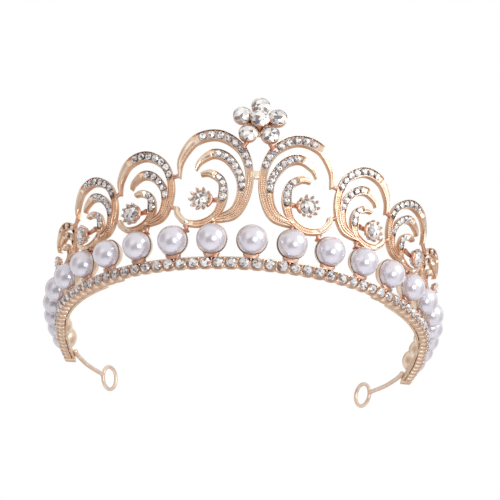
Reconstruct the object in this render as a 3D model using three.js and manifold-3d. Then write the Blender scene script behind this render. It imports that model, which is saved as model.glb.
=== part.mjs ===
// Pearl and rhinestone tiara: a horseshoe band of square-set stones carries a row of pearls in cups,
// eight openwork scroll castings above them, and a six-stone flower at the top of the front.
//
// Units are millimetres and +Z is up. The front faces -Y and the wearer's head stands inside the band.
// The whole tiara flares: it leans outward as it rises.
// Most pieces are drawn flat, as if the band were unrolled: X runs along the band from the middle of the
// front, -Y is outward and Z is the rise along the slope from the underside of the band. bend() then curls
// them onto the band's plan and leans them outward.

import * as THREE from 'three';
import { mergeVertices } from 'three/addons/utils/BufferGeometryUtils.js';
import Module from 'manifold-3d';

const wasm = await Module();
wasm.setup();

// ---- driving dimensions ----

const FRONT_RADIUS = 75.5; // plan radius of the front arc, at the middle of the band
const FRONT_HALF_LENGTH = 104.4; // length of the front arc on each side of the middle
const SIDE_RADIUS = 204.5; // plan radius of the flatter sides behind the front arc

const FLARE = 16 * Math.PI / 180; // outward lean

const PEARLS_EACH_SIDE = 11;
const PEARL_PITCH = 13.5;
const PEARL_RADIUS = 5;
const PEARL_RISE = 10.2; // centre of the pearls, up the slope from the underside of the band
const PEG_RADIUS = 0.5; // peg in the floor of each cup, which the half-drilled pearl is glued on
const PEG_CLEARANCE = 0.12;
const PEG_DEPTH = 2;

const BAND_HEIGHT = 3.6;
const BAND_HALF_DEPTH = 1.5;
const BAND_HALF_LENGTH = 152.5;
const BAND_END_BLOCK = 4; // length of the closed block at each end of the band
const END_BLOCK_STEP = 0.3; // how far the end blocks stay below and inside the band's own faces
const STRIP_THICKNESS = 0.8; // inner strip that stiffens the sides of the band
const STRIP_SETBACK = 2.5; // outer face of the strip, inward of the middle of the band
const STRIP_START = 58;
const STRIP_BOTTOM = 0.3;
const STRIP_TOP = 4.5;
const STRIP_INNER = STRIP_SETBACK + STRIP_THICKNESS;
const TAB_HALF_WIDTH = 1.2; // tabs that reach from the strip to the back of the band
const TAB_BOTTOM = 0.8;
const TAB_TOP = 2.4;
const TAB_SPACING = 40;

const CUP_RADIUS = 5.45;
const CUP_WALL = 0.33;
const CUP_LIP = 1; // rim of the cup, inward of the pearl's centre
const RUNNER_HEIGHT = 0.5; // thin runner that joins the feet of the cups
const FOOT_HALF_WIDTH = 2.6;
const FOOT_HALF_DEPTH = 1.3;
const FOOT_INNER_DEPTH = 2.4;
const LUG_HALF_WIDTH = 2; // lug on the inner edge of each foot, which the cup is soldered to
const LUG_OUTER = 2.1;
const LUG_INNER = 3;
const LUG_TOP = 6;

const SCROLL_FRONT = 0.8; // front face of the scrolls, inward of the pearl's centre
const SCROLL_THICKNESS = 1.8;
const SCROLL_BASE = PEARL_RISE + 4.85; // lowest edge of every scroll
const POST_RADIUS = 0.8;
const POST_ROOT = 2.6; // low end of each post above the pearl's centre, beside or inside the wall of its cup
const BAR_BOTTOM = 16.6; // bar between the two front scrolls, above their lower edge
const BAR_TOP = 19.2;
const BAR_LAP = 0.6; // how far the bar reaches into the left scroll

const FLOWER_HEIGHT = 49.4; // above the underside of the band
const FLOWER_OUTWARD = 10.2; // the flower stands upright, this far outward of the pearls' plan
const PETAL_CIRCLE = 6.3;
const PETAL_CUP_RADIUS = 3.3;
const PETAL_STONE_RADIUS = 2.9;
const FLOWER_CENTRE_RISE = 1.6; // the middle stone stands forward of the petals
const FLOWER_PLATE_RADIUS = 5.6;
const FLOWER_PLATE_BACK = -1.9;
const FLOWER_PLATE_FRONT = -1.1;
const FLOWER_STEM_RADIUS = 2.2;
const FLOWER_TAB_PLACE = 4.4; // two tabs below the plate, which are soldered to the front scrolls
const FLOWER_TAB_HALF_WIDTH = 0.8;

const CLAW_STONE_RADIUS = 2.6;
const CLAW_PRONGS = 8;
const CLAW_LEAN = 0.35;
const CLAW_SEAT = CLAW_STONE_RADIUS + 0.1;
const PRONG_LENGTH = 2.4;
const ARM_START = 1.5; // arm of the claw setting, from the wall of its collar to the curl of the scroll
const ARM_LEAST = 2.2;
const CLAW_ARM_ROOM = 1.7; // height kept free above and below the arm

const LOOP_WIRE_RADIUS = 0.95;
const LOOP_RADIUS = 5.4; // middle of the wire
const LOOP_CENTRE = new THREE.Vector3(61.8, 72.5, LOOP_RADIUS + LOOP_WIRE_RADIUS);
const LOOP_HEADING = 2.06; // direction of the wire at the loop, turned from +X towards +Y
const WIRE_HEIGHT = 3.3; // where the wire is soldered along the inner strip
const WIRE_LAP = 6; // length of wire lying along the strip

const GAP = 0.15; // clearance between pieces that touch on the real tiara
const ROUND_SEGMENTS = 8;

// ---- materials ----

const GOLD = () => new THREE.MeshStandardMaterial({ color: 0xe8bf96, roughness: 0.28, metalness: 1 });
const PEARL = () => new THREE.MeshStandardMaterial({ color: 0xe9e6f0, roughness: 0.2, metalness: 0 });
const STONE = () => new THREE.MeshStandardMaterial({ color: 0xdfe3ea, roughness: 0.05, metalness: 0.2 });

// ---- solids ----

function toSolid(geometry) {
  const bare = geometry.clone();
  bare.deleteAttribute('normal');
  bare.deleteAttribute('uv');
  const merged = mergeVertices(bare, 1e-4);
  const triangles = [];
  for (let i = 0; i < merged.index.count; i += 3) {
    const [a, b, c] = merged.index.array.slice(i, i + 3);
    // A turned shape leaves triangles with two equal corners at its axis.
    if (a !== b && b !== c && c !== a) triangles.push(a, b, c);
  }
  return new wasm.Manifold(new wasm.Mesh({
    numProp: 3,
    vertProperties: new Float32Array(merged.attributes.position.array),
    triVerts: new Uint32Array(triangles),
  }));
}

function toGeometry(solid) {
  const mesh = solid.getMesh();
  const geometry = new THREE.BufferGeometry();
  geometry.setAttribute('position', new THREE.BufferAttribute(new Float32Array(mesh.vertProperties), 3));
  geometry.setIndex(new THREE.BufferAttribute(new Uint32Array(mesh.triVerts), 1));
  geometry.computeVertexNormals();
  return geometry;
}

const join = (geometries) => toGeometry(geometries.map(toSolid).reduce((whole, next) => whole.add(next)));
const cut = (geometry, tool) => toGeometry(toSolid(geometry).subtract(toSolid(tool)));

// ---- the band's plan ----

// Point of the plan at a distance along the band from the middle of the front, and the outward direction.
function planAt(distance) {
  const side = Math.sign(distance) || 1;
  const length = Math.abs(distance);
  const turnAtJoin = FRONT_HALF_LENGTH / FRONT_RADIUS;
  const onFront = length <= FRONT_HALF_LENGTH;
  const turn = onFront ? length / FRONT_RADIUS : turnAtJoin + (length - FRONT_HALF_LENGTH) / SIDE_RADIUS;
  const radius = onFront ? FRONT_RADIUS : SIDE_RADIUS;
  const centreX = onFront ? 0 : (FRONT_RADIUS - SIDE_RADIUS) * Math.sin(turnAtJoin);
  const centreY = onFront ? 0 : (SIDE_RADIUS - FRONT_RADIUS) * Math.cos(turnAtJoin);
  return {
    x: side * (centreX + radius * Math.sin(turn)),
    y: centreY - radius * Math.cos(turn),
    turn: side * turn,
  };
}

// Outward offset from the plan, which runs through the pearls' centres, of a point at a rise up the slope.
const lean = (rise) => (rise - PEARL_RISE) * Math.sin(FLARE);

function bend(geometry) {
  const position = geometry.attributes.position;
  for (let i = 0; i < position.count; i += 1) {
    const plan = planAt(position.getX(i));
    const rise = position.getZ(i);
    const outward = lean(rise) - position.getY(i);
    position.setXYZ(
      i,
      plan.x + outward * Math.sin(plan.turn),
      plan.y - outward * Math.cos(plan.turn),
      rise * Math.cos(FLARE),
    );
  }
  geometry.computeVertexNormals();
  return geometry;
}

// Stands a rigid piece, drawn about its own centre and facing -Y, at a place on the slope.
function standOnSlope(geometry, along, outward, rise) {
  const plan = planAt(along);
  const offset = lean(rise) + outward;
  geometry.rotateX(FLARE).rotateZ(plan.turn);
  return geometry.translate(
    plan.x + offset * Math.sin(plan.turn),
    plan.y - offset * Math.cos(plan.turn),
    rise * Math.cos(FLARE),
  );
}

// A block of the flat drawing: from and to are [along, outward, height].
function block(from, to, steps = 1) {
  const size = to.map((value, axis) => value - from[axis]);
  const geometry = new THREE.BoxGeometry(size[0], size[1], size[2], steps, 1, 1);
  return geometry.translate((from[0] + to[0]) / 2, -(from[1] + to[1]) / 2, (from[2] + to[2]) / 2);
}

// A turned shape about the outward axis: profile is a list of [radius, outward].
function turned(profile, segments = ROUND_SEGMENTS) {
  const points = profile.map(([radius, outward]) => new THREE.Vector2(radius, outward));
  return new THREE.LatheGeometry(points, segments).rotateX(Math.PI);
}

function arcProfile(radius, fromAngle, toAngle, steps) {
  return Array.from({ length: steps + 1 }, (_, i) => {
    const angle = fromAngle + (toAngle - fromAngle) * i / steps;
    return [Math.max(0, radius * Math.sin(angle)), -radius * Math.cos(angle)];
  });
}

// ---- pearls and their cups ----

function pearl() {
  const hole = PEG_RADIUS + PEG_CLEARANCE;
  const holeEdge = Math.asin(hole / PEARL_RADIUS);
  const skin = arcProfile(PEARL_RADIUS, holeEdge, Math.PI, 7);
  return turned([[0, PEG_DEPTH - PEARL_RADIUS], [hole, PEG_DEPTH - PEARL_RADIUS], ...skin]);
}

function pearlCup() {
  const inner = CUP_RADIUS - CUP_WALL;
  const rim = Math.acos(CUP_LIP / CUP_RADIUS);
  const pegTip = PEG_DEPTH - PEARL_RADIUS - PEG_CLEARANCE;
  return turned([
    ...arcProfile(CUP_RADIUS, 0, rim, 3),
    ...arcProfile(inner, Math.acos(CUP_LIP / inner), Math.asin(PEG_RADIUS / inner), 3),
    [PEG_RADIUS, pegTip],
    [0, pegTip],
  ]);
}

// Runner, feet, lugs, cups and the posts that carry the scrolls, soldered into one piece. Each post is
// [along, rise of the scroll's lower edge there].
function pearlGallery(pearlPlaces, posts) {
  const runnerEnd = BAND_HALF_LENGTH - BAND_END_BLOCK;
  const floor = BAND_HEIGHT + GAP;
  const runner = bend(block(
    [-runnerEnd, -FOOT_HALF_DEPTH, floor],
    [runnerEnd, FOOT_HALF_DEPTH, floor + RUNNER_HEIGHT],
    72,
  ));
  const pieces = [runner];
  const footTop = PEARL_RISE - (PEARL_RADIUS + GAP) / Math.cos(FLARE);
  for (const place of pearlPlaces) {
    const foot = block(
      [place - FOOT_HALF_WIDTH, -FOOT_INNER_DEPTH, floor],
      [place + FOOT_HALF_WIDTH, FOOT_HALF_DEPTH, footTop],
    );
    const lug = block(
      [place - LUG_HALF_WIDTH, -LUG_INNER, STRIP_TOP + GAP],
      [place + LUG_HALF_WIDTH, -LUG_OUTER, LUG_TOP],
    );
    pieces.push(bend(foot), bend(lug), standOnSlope(pearlCup(), place, 0, PEARL_RISE));
  }
  for (const [place, top] of posts) {
    const middle = -SCROLL_FRONT - SCROLL_THICKNESS / 2;
    const post = bend(block(
      [place - POST_RADIUS, middle - POST_RADIUS, PEARL_RISE + POST_ROOT],
      [place + POST_RADIUS, middle + POST_RADIUS, top - GAP],
    ));
    const nearest = PEARL_PITCH * Math.round(place / PEARL_PITCH);
    const ball = turned(arcProfile(CUP_RADIUS - CUP_WALL / 2, 0, Math.PI, 8));
    pieces.push(cut(post, standOnSlope(ball, nearest, 0, PEARL_RISE)));
  }
  return join(pieces);
}

// ---- band ----

function stoneBand() {
  const bar = block(
    [-BAND_HALF_LENGTH, -BAND_HALF_DEPTH, 0],
    [BAND_HALF_LENGTH, BAND_HALF_DEPTH, BAND_HEIGHT],
    78,
  );
  const pieces = [bend(bar)];
  for (const side of [-1, 1]) {
    const from = BAND_HALF_LENGTH - BAND_END_BLOCK;
    const ends = [side * from, side * BAND_HALF_LENGTH].sort((a, b) => a - b);
    pieces.push(bend(block(
      [ends[0], -STRIP_INNER, 0],
      [ends[1], BAND_HALF_DEPTH - END_BLOCK_STEP, BAND_HEIGHT - END_BLOCK_STEP],
      2,
    )));
  }
  return join(pieces);
}

function innerStrip(side) {
  const stop = BAND_HALF_LENGTH - BAND_END_BLOCK - GAP;
  const ends = [side * STRIP_START, side * stop].sort((a, b) => a - b);
  const strip = block([ends[0], -STRIP_INNER, STRIP_BOTTOM], [ends[1], -STRIP_SETBACK, STRIP_TOP], 24);
  const firstTab = STRIP_START + 2 * TAB_HALF_WIDTH;
  const tabs = [0, 1, 2].map((i) => side * (firstTab + i * TAB_SPACING)).map((place) => block(
    [place - TAB_HALF_WIDTH, -STRIP_SETBACK - STRIP_THICKNESS / 2, TAB_BOTTOM],
    [place + TAB_HALF_WIDTH, -BAND_HALF_DEPTH - GAP, TAB_TOP],
  ));
  return join([strip, ...tabs].map(bend));
}

// ---- scrolls ----

// Strokes of the largest scroll, on its right-hand side: [along, height, half width] from the lower edge
// of the box that the scroll fills. The smaller scrolls stretch these to their own boxes.
const SCROLL_DESIGN = { width: 25.6, height: 33.4 };
const STROKE_STEPS = 16;
const HOOP = [
  [23.8, 17.4, 0.3], [23.3, 23.5, 1.15], [18.6, 30.1, 1.7], [11.0, 31.4, 1.75], [4.0, 26.3, 1.55],
  [1.3, 18.0, 1.3], [2.1, 9.9, 1.3], [5.6, 3.7, 1.15], [12.6, 2.0, 0.9],
];
const CRESCENT = [
  [18.4, 19.6, 0.3], [16.9, 22.5, 0.95], [12.6, 25.0, 1.5], [8.0, 23.0, 1.55], [4.4, 17.2, 1.4],
  [3.7, 11.0, 1.45], [6.1, 5.2, 1.2], [12.2, 2.3, 0.8],
];
const CURL = [
  [16.7, 17.8, 0.55], [13.6, 18.1, 1.15], [10.0, 15.3, 1.35], [9.5, 9.8, 1.6], [11.4, 4.2, 1.15],
  [16.0, 1.1, 1.15], [21.4, 1.5, 1.0], [24.6, 4.6, 1.05], [24.8, 6.9, 0.8],
];

// The scrolls of one side: start along the band, width, height, lift above the lowest scroll, scale of its
// strokes, how much of their height in the design the crescent and the curl keep, the places of the posts
// that carry it, and its claw setting. A claw's place is in the design's own units, and its outward distance
// is from the plan that runs through the pearls.
const SCROLLS = [
  {
    start: 0.85, width: 25.6, height: 33.4, lift: 0, weight: 1, crescent: 1, curl: 1,
    posts: [13.1, 22.6],
    claw: { size: 1, place: [16.8, 9.3], outward: -1.2 },
  },
  {
    start: 26.65, width: 22, height: 27.4, lift: 1.1, weight: 0.95, crescent: 0.93, curl: 0.86,
    posts: [37.4, 43.4],
    claw: { size: 1, place: [18.1, 6.8], outward: 0.35 },
  },
  {
    start: 48.85, width: 23, height: 24.5, lift: 0.95, weight: 0.9, crescent: 0.94, curl: 0.85,
    posts: [64.2, 68.6],
    claw: { size: 0.95, place: [20.2, 6.9], outward: 0.3 },
  },
  {
    start: 72.05, width: 20, height: 15.3, lift: 0.85, weight: 0.75, crescent: 0.94, curl: 0.85,
    posts: [81.5],
    claw: { size: 0.7, place: [19.9, 3.8], outward: 0.95 },
  },
];

// Outline of a stroke: both edges of a smooth centre line whose half width changes along it.
function strokeOutline(points, map, weight) {
  const centreLine = new THREE.SplineCurve(points.map(([along, height]) => map(along, height)));
  const widths = new THREE.SplineCurve(points.map(([, , half], i) => new THREE.Vector2(i, half * weight)));
  const near = [];
  const far = [];
  for (let i = 0; i <= STROKE_STEPS; i += 1) {
    const centre = centreLine.getPoint(i / STROKE_STEPS);
    const across = centreLine.getTangent(i / STROKE_STEPS).rotateAround(new THREE.Vector2(), Math.PI / 2);
    const half = widths.getPoint(i / STROKE_STEPS).y;
    near.push(centre.clone().addScaledVector(across, half));
    far.unshift(centre.clone().addScaledVector(across, -half));
  }
  return new THREE.Shape([...near, ...far]);
}

// A point of the design on a scroll: along the band and up the slope.
const placeOn = ({ start, width, height, lift }, side) => (along, up) => new THREE.Vector2(
  side * (start + along * width / SCROLL_DESIGN.width),
  SCROLL_BASE + lift + up * height / SCROLL_DESIGN.height,
);

function scrollOutlines(design, side) {
  const place = placeOn(design, side);
  const strokes = [[HOOP, 1], [CRESCENT, design.crescent], [CURL, design.curl]];
  return strokes.map(([points, kept]) => (
    strokeOutline(points, (along, up) => place(along, up * kept), design.weight)
  ));
}

function scroll(design, side, extras) {
  const strokes = scrollOutlines(design, side).map((shape) => {
    const plate = new THREE.ExtrudeGeometry(shape, { depth: SCROLL_THICKNESS, bevelEnabled: false });
    return plate.rotateX(Math.PI / 2).translate(0, SCROLL_FRONT + SCROLL_THICKNESS, 0);
  });
  return bend(join([...strokes, ...extras]));
}

// Rise of a scroll's lower edge over the width of a post.
function lowerEdge(design, place) {
  const points = scrollOutlines(design, 1).flatMap((shape) => shape.getSpacedPoints(400));
  const near = points.filter((point) => Math.abs(point.x - place) < 1.5 * POST_RADIUS);
  return Math.min(...near.map((point) => point.y));
}

// Distance from a claw's middle to the nearest metal of the scroll beside it, towards the front.
function clawReach(design, middle) {
  const points = scrollOutlines(design, 1).flatMap((shape) => shape.getSpacedPoints(400));
  const beside = points.filter((point) => point.x < middle.x && Math.abs(point.y - middle.y) < CLAW_ARM_ROOM);
  return middle.x - Math.max(...beside.map((point) => point.x)) - GAP;
}

// Short bar that ties the two front scrolls together. It belongs to the left one.
const centreBar = () => block(
  [-SCROLLS[0].start - BAR_LAP, -SCROLL_FRONT - 0.8 * SCROLL_THICKNESS, SCROLL_BASE + BAR_BOTTOM],
  [SCROLLS[0].start - GAP, -SCROLL_FRONT - 0.2 * SCROLL_THICKNESS, SCROLL_BASE + BAR_TOP],
);

// ---- stones in claws ----

// Flat-backed brilliant: shallow back, girdle, bevelled crown and a flat table.
function brilliant(radius) {
  const depth = 0.45 * radius;
  return turned([[0, -depth], [radius, 0], [radius, 0.1 * radius], [0.62 * radius, depth], [0, depth]]);
}

// Open-backed collar with a seat for the stone, a ring of prongs, and an arm that reaches sideways.
function clawSetting(reach) {
  const collar = turned([
    [1, -2.3], [2.3, -2.3], [CLAW_SEAT + 0.5, 0.1], [CLAW_SEAT, 0.1], [CLAW_SEAT, -0.2], [1, -1.5], [1, -2.3],
  ]);
  const ends = [ARM_START * Math.sign(reach), reach].sort((a, b) => a - b);
  const arm = block([ends[0], -2.2, -1.1], [ends[1], -1.3, 0.6]);
  const prongs = Array.from({ length: CLAW_PRONGS }, (_, i) => {
    const prong = new THREE.CylinderGeometry(0.3, 0.5, PRONG_LENGTH, 3).rotateX(Math.PI + CLAW_LEAN);
    return prong.translate(0, 0, CLAW_SEAT + 0.75).rotateY(2 * Math.PI * i / CLAW_PRONGS);
  });
  return join([collar, arm, ...prongs]);
}

// ---- flower ----

const petalAngle = (i) => Math.PI / 2 + 2 * Math.PI * i / 5;
const PETAL_NAMES = ['top', 'upper_left', 'lower_left', 'lower_right', 'upper_right'];
const flowerPlaces = () => [
  ...PETAL_NAMES.map((name, i) => ({
    name,
    along: PETAL_CIRCLE * Math.cos(petalAngle(i)),
    up: PETAL_CIRCLE * Math.sin(petalAngle(i)),
    outward: 0,
  })),
  { name: 'centre', along: 0, up: 0, outward: FLOWER_CENTRE_RISE },
];

function petalCup() {
  const seat = PETAL_STONE_RADIUS + 0.1;
  return turned([
    [0, -1.2], [3.1, -1.2], [PETAL_CUP_RADIUS, 1], [seat, 1], [seat, 0.6], [0.8, -0.7], [0, -0.7],
  ]);
}

const disc = (radius, back, front) => turned([[0, back], [radius, back], [radius, front], [0, front]]);

function flowerSetting() {
  const plate = disc(FLOWER_PLATE_RADIUS, FLOWER_PLATE_BACK, FLOWER_PLATE_FRONT);
  const stem = disc(FLOWER_STEM_RADIUS, -1.5, FLOWER_CENTRE_RISE - 1);
  const cups = flowerPlaces().map(({ along, up, outward }) => petalCup().translate(along, -outward, up));
  const lowBar = block([-2, FLOWER_PLATE_FRONT, -PETAL_CIRCLE - 0.1], [2, 0, -PETAL_CIRCLE + 1.3]);
  const tabs = [-FLOWER_TAB_PLACE, FLOWER_TAB_PLACE].map((place) => block(
    [place - FLOWER_TAB_HALF_WIDTH, FLOWER_PLATE_BACK + GAP, -8],
    [place + FLOWER_TAB_HALF_WIDTH, FLOWER_PLATE_FRONT, -6],
  ));
  return join([plate, stem, lowBar, ...tabs, ...cups]);
}

// ---- hair loops ----

function hairLoop(side) {
  const along = new THREE.Vector3(side * Math.cos(LOOP_HEADING), Math.sin(LOOP_HEADING), 0);
  const centre = LOOP_CENTRE.clone().multiply(new THREE.Vector3(side, 1, 1));
  const ring = new THREE.TorusGeometry(LOOP_RADIUS, LOOP_WIRE_RADIUS, 8, 18).rotateX(Math.PI / 2);
  ring.rotateZ(Math.atan2(along.y, along.x)).translate(centre.x, centre.y, centre.z);
  const inward = STRIP_INNER + GAP + LOOP_WIRE_RADIUS;
  const lapEnds = [BAND_HALF_LENGTH - WIRE_LAP, BAND_HALF_LENGTH].map((length) => {
    const plan = planAt(side * length);
    const outward = lean(WIRE_HEIGHT) - inward;
    return new THREE.Vector3(
      plan.x + outward * Math.sin(plan.turn),
      plan.y - outward * Math.cos(plan.turn),
      WIRE_HEIGHT,
    );
  });
  const end = centre.clone().addScaledVector(along, -LOOP_RADIUS);
  const middle = lapEnds[1].clone().lerp(end, 0.5).add(new THREE.Vector3(side * 1.2, 0.6, 0));
  const wireLine = new THREE.CatmullRomCurve3([...lapEnds, middle, end]);
  const circle = new THREE.Path().absarc(0, 0, LOOP_WIRE_RADIUS, 0, 2 * Math.PI);
  const section = new THREE.Shape(circle.getPoints(4));
  const wire = new THREE.ExtrudeGeometry(section, { steps: 12, extrudePath: wireLine });
  return join([wire, ring]);
}

// ---- assembly ----

const tiara = new THREE.Group();

function add(name, geometry, material) {
  const mesh = new THREE.Mesh(geometry, material);
  mesh.name = name;
  tiara.add(mesh);
}

const SIDES = [['left', -1], ['right', 1]];
const pearlNumbers = Array.from({ length: 2 * PEARLS_EACH_SIDE + 1 }, (_, i) => i - PEARLS_EACH_SIDE);
const pearlPlaces = pearlNumbers.map((number) => number * PEARL_PITCH);
pearlPlaces.forEach((place, i) => {
  const number = String(i + 1).padStart(2, '0');
  add(`pearl_${number}`, standOnSlope(join([pearl()]), place, 0, PEARL_RISE), PEARL());
});
const posts = SCROLLS.flatMap((design) => design.posts.flatMap((place) => {
  const top = lowerEdge(design, place);
  return [[-place, top], [place, top]];
}));
add('pearl_gallery', pearlGallery(pearlPlaces, posts), GOLD());
add('stone_band', stoneBand(), GOLD());

for (const [sideName, side] of SIDES) {
  add(`inner_strip_${sideName}`, innerStrip(side), GOLD());
  add(`hair_loop_${sideName}`, hairLoop(side), GOLD());
  SCROLLS.forEach((design, i) => {
    const label = `${sideName}_${i + 1}`;
    const { size, place, outward } = design.claw;
    const middle = placeOn(design, 1)(...place);
    const reach = Math.max(clawReach(design, middle) / size, ARM_LEAST);
    const setting = clawSetting(-side * reach).scale(size, size, size);
    const stone = join([brilliant(CLAW_STONE_RADIUS * size)]);
    const extras = side < 0 && i === 0 ? [centreBar()] : [];
    add(`scroll_${label}`, scroll(design, side, extras), GOLD());
    add(`claw_setting_${label}`, standOnSlope(setting, side * middle.x, outward, middle.y), GOLD());
    add(`claw_stone_${label}`, standOnSlope(stone, side * middle.x, outward + GAP, middle.y), STONE());
  });
}

const standFlower = (geometry) => geometry.translate(0, -FRONT_RADIUS - FLOWER_OUTWARD, FLOWER_HEIGHT);
add('flower_setting', standFlower(flowerSetting()), GOLD());
for (const { name, along, up, outward } of flowerPlaces()) {
  const stone = join([brilliant(PETAL_STONE_RADIUS)]).translate(along, -outward - 0.9, up);
  add(`flower_stone_${name}`, standFlower(stone), STONE());
}

// The origin is the middle of the bounding box's underside.
const bounds = new THREE.Box3().setFromObject(tiara);
const middle = bounds.getCenter(new THREE.Vector3());
tiara.position.set(-middle.x, -middle.y, -bounds.min.z);

export default tiara;
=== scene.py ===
"""Looks of the pearl and rhinestone tiara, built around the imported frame.

Drawings are in millimetres, as if the band were unrolled: along runs with the band from the middle of the
front, rise goes up the slope from the underside of the band, and outward leaves the plan that runs through
the pearls. A shape of its own is drawn about its middle, facing -Y. on_tiara(), bent() and slope_frame()
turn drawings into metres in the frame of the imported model.
"""
import math
import random

import bmesh
import bpy
from mathutils import Matrix, Vector


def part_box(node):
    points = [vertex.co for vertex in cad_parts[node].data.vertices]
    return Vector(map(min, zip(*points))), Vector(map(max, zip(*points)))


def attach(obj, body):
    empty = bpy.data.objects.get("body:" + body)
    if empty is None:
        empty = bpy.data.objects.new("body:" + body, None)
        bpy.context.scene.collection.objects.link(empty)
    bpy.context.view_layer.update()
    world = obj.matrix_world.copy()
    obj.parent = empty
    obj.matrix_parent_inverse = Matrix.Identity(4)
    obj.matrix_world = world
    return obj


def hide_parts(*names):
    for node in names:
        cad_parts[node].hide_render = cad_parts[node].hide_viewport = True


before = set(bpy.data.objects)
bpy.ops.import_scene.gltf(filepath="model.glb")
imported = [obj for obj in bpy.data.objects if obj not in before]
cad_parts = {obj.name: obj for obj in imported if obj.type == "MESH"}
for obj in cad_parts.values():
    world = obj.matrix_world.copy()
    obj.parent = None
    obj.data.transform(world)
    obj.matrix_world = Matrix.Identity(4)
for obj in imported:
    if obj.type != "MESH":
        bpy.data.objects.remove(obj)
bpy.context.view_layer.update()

MM = 0.001
SIDES = {"left": -1, "right": 1}

# ---- sizes shared with the CAD ----

FRONT_RADIUS = 75.5
FRONT_HALF_LENGTH = 104.4
SIDE_RADIUS = 204.5
FLARE = math.radians(16)

PEARL_COUNT = 23
PEARL_PITCH = 13.5
PEARL_RADIUS = 5.0
PEARL_RISE = 10.2
PEG_HOLE = 0.62
PEG_DEPTH = 2.0

BAND_HEIGHT = 3.6
BAND_HALF_DEPTH = 1.5
BAND_HALF_LENGTH = 152.5
BAND_END_BLOCK = 4.0
STRIP_SETBACK = 2.5
STRIP_THICKNESS = 0.8
STRIP_INNER = STRIP_SETBACK + STRIP_THICKNESS
STRIP_START = 58.0
STRIP_BOTTOM = 0.3
STRIP_TOP = 4.5
TAB_HALF_WIDTH = 1.2
TAB_SPACING = 40.0

CUP_RADIUS = 5.45
CUP_WALL = 0.33
CUP_LIP = 1.0
GAP = 0.15  # clearance between pieces that touch on the real tiara

SCROLL_FRONT = 0.8
SCROLL_THICKNESS = 1.8
SCROLL_BASE = PEARL_RISE + 4.85
POST_RADIUS = 0.8

FLOWER_HEIGHT = 49.4
FLOWER_OUTWARD = 10.2
PETAL_CIRCLE = 6.3
PETAL_STONE_RADIUS = 2.9
FLOWER_CENTRE_RISE = 1.6
CLAW_STONE_RADIUS = 2.6

LOOP_WIRE_RADIUS = 0.95
LOOP_RADIUS = 5.4
LOOP_CENTRE = (61.8, 72.5, LOOP_RADIUS + LOOP_WIRE_RADIUS)
LOOP_HEADING = 2.06
WIRE_HEIGHT = 3.3
WIRE_LAP = 6.0

DESIGN_WIDTH = 25.6
DESIGN_HEIGHT = 33.4
HOOP = [
    (23.8, 17.4, 0.3), (23.3, 23.5, 1.15), (18.6, 30.1, 1.7), (11.0, 31.4, 1.75), (4.0, 26.3, 1.55),
    (1.3, 18.0, 1.3), (2.1, 9.9, 1.3), (5.6, 3.7, 1.15), (12.6, 2.0, 0.9),
]
CRESCENT = [
    (18.4, 19.6, 0.3), (16.9, 22.5, 0.95), (12.6, 25.0, 1.5), (8.0, 23.0, 1.55), (4.4, 17.2, 1.4),
    (3.7, 11.0, 1.45), (6.1, 5.2, 1.2), (12.2, 2.3, 0.8),
]
CURL = [
    (16.7, 17.8, 0.55), (13.6, 18.1, 1.15), (10.0, 15.3, 1.35), (9.5, 9.8, 1.6), (11.4, 4.2, 1.15),
    (16.0, 1.1, 1.15), (21.4, 1.5, 1.0), (24.6, 4.6, 1.05), (24.8, 6.9, 0.8),
]
SCROLLS = [
    dict(start=0.85, width=25.6, height=33.4, lift=0.0, weight=1.0, crescent=1.0, curl=1.0,
         posts=(13.1, 22.6), claw=dict(size=1.0, place=(16.8, 9.3), outward=-1.2)),
    dict(start=26.65, width=22.0, height=27.4, lift=1.1, weight=0.95, crescent=0.93, curl=0.86,
         posts=(37.4, 43.4), claw=dict(size=1.0, place=(18.1, 6.8), outward=0.35)),
    dict(start=48.85, width=23.0, height=24.5, lift=0.95, weight=0.9, crescent=0.94, curl=0.85,
         posts=(64.2, 68.6), claw=dict(size=0.95, place=(20.2, 6.9), outward=0.3)),
    dict(start=72.05, width=20.0, height=15.3, lift=0.85, weight=0.75, crescent=0.94, curl=0.85,
         posts=(81.5,), claw=dict(size=0.7, place=(19.9, 3.8), outward=0.95)),
]

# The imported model's origin is the middle of its box, so the plan's own centre lies this far along Y.
front_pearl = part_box("pearl_12")
SHIFT_Y = (front_pearl[0].y + front_pearl[1].y) / 2 / MM + FRONT_RADIUS

# ---- detail that only the looks have ----

JOINT_LIFT = 0.05  # where the solder and the runner start above the band
CUP_INSET = 0.06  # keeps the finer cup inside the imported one
FOOT_HALF_WIDTH = 2.8
FOOT_FLAT = 1.2  # half of the width that stands on the band

LINK_PITCH = 4.36  # one stone of the band
LINK_SEGMENTS = 24
BAND_STONE_RADIUS = 1.66
BAND_STONE_LIFT = 0.22  # the stones sit above the middle of the band, over a plain lower edge
BAND_STONE_OUTWARD = 0.92
SLIM_LINK, DEEP_LINK = (0.95, 3.6), (2.2, 8.0)  # reach to the back, and how square the back is
SIDE_LINKS_FROM = STRIP_START - 8

PAVE_RADIUS = 1.36
PAVE_PITCH = 2.78
SPARSE_PITCH = 4.9  # on the last scroll of each side, whose stones have rings of their own
CHANNEL_DEPTH = 0.75  # where the stones sit
GROOVE_DEPTH = 0.42  # along the lower stems, which carry fine beads
GRAIN_RADIUS = 0.3
BRIDGE_LIMIT = 4.0  # a wider gap between two scrolls isn't bridged

PRONGS = 10
PETAL_SEGMENTS = 36
RING_WIRE_RADIUS = 0.9

# Scale on the tones of painted reflection and shade in a stone's facets: darker in the band's row, brighter in
# the flower.
BAND_GLINT_GAIN, FLOWER_GLINT_GAIN = 0.86, 1.2

# Tints of the plating: as it comes, and painted shade, darker and coppery on walls, bevels, groove floors and
# the flower's cups, and grey between and under the stones and on the prongs.
PLAIN, COPPERY_SHADE, GREY_SHADE = (1.0, 1.0, 1.0), (0.80, 0.66, 0.57), (0.74, 0.73, 0.82)
SHADED = (0.56, 0.48, 0.48)  # painted shade on the settings' faces, between the band's stones


# ---- placing ----

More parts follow.
